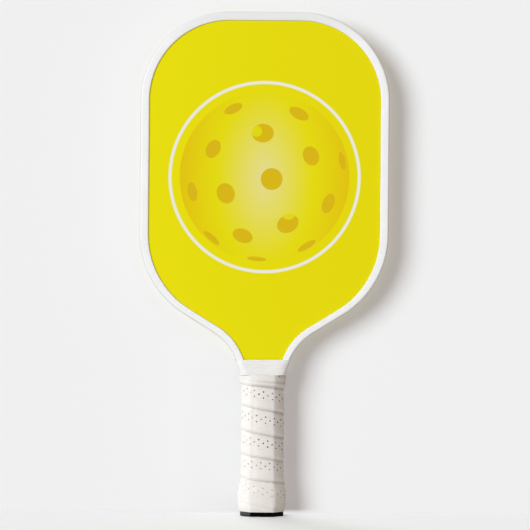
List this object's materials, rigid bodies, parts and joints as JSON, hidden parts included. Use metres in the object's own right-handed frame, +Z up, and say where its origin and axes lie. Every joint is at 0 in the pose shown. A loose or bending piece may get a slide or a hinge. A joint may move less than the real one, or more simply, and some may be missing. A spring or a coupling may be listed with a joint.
{
  "type": "pickleball paddle",
  "caption": "Flat court-game paddle: honeycomb-core blade with a printed face and soft edge guard, and an octagonal handle with a perforated cushioned wrap and flared butt cap.",
  "frame": {"origin": "centre of the flat end of the butt cap", "axes": "+Z up the handle to the tip of the blade, -Y out of the printed front face, +X to the right when the front face is looked at with the handle down"},
  "size_m": [0.1976, 0.0326, 0.4],
  "materials": {
    "core": "natural polypropylene",
    "adhesive": "cured film adhesive",
    "fibreglass": "woven fibreglass in resin",
    "front_print": "satin printed film, yellow",
    "back_print": "satin printed film, yellow",
    "edge_guard": "satin white moulded plastic",
    "mounting_tape": "double-sided cloth tape",
    "pallet": "moulded structural foam",
    "butt_cap": "black moulded plastic",
    "staple": "zinc-plated wire",
    "grip_felt": "non-woven felt",
    "grip_cover": "perforated white synthetic leather",
    "finishing_tape": "white stretch tape"
  },
  "bodies": {
    "root": {"honeycomb_core": "core", "front_adhesive_film": "adhesive", "back_adhesive_film": "adhesive", "front_face_sheet": "fibreglass", "back_face_sheet": "fibreglass", "front_graphic_film": "front_print", "back_graphic_film": "back_print", "edge_guard": "edge_guard", "edge_guard_tape": "mounting_tape", "front_pallet_bond": "adhesive", "back_pallet_bond": "adhesive", "front_handle_pallet": "pallet", "back_handle_pallet": "pallet", "butt_cap": "butt_cap", "front_cap_staple": "staple", "back_cap_staple": "staple", "handle_tape": "mounting_tape", "grip_backing": "grip_felt", "grip_cover": "grip_cover", "finishing_tape": "finishing_tape"}
  },
  "joints": []
}
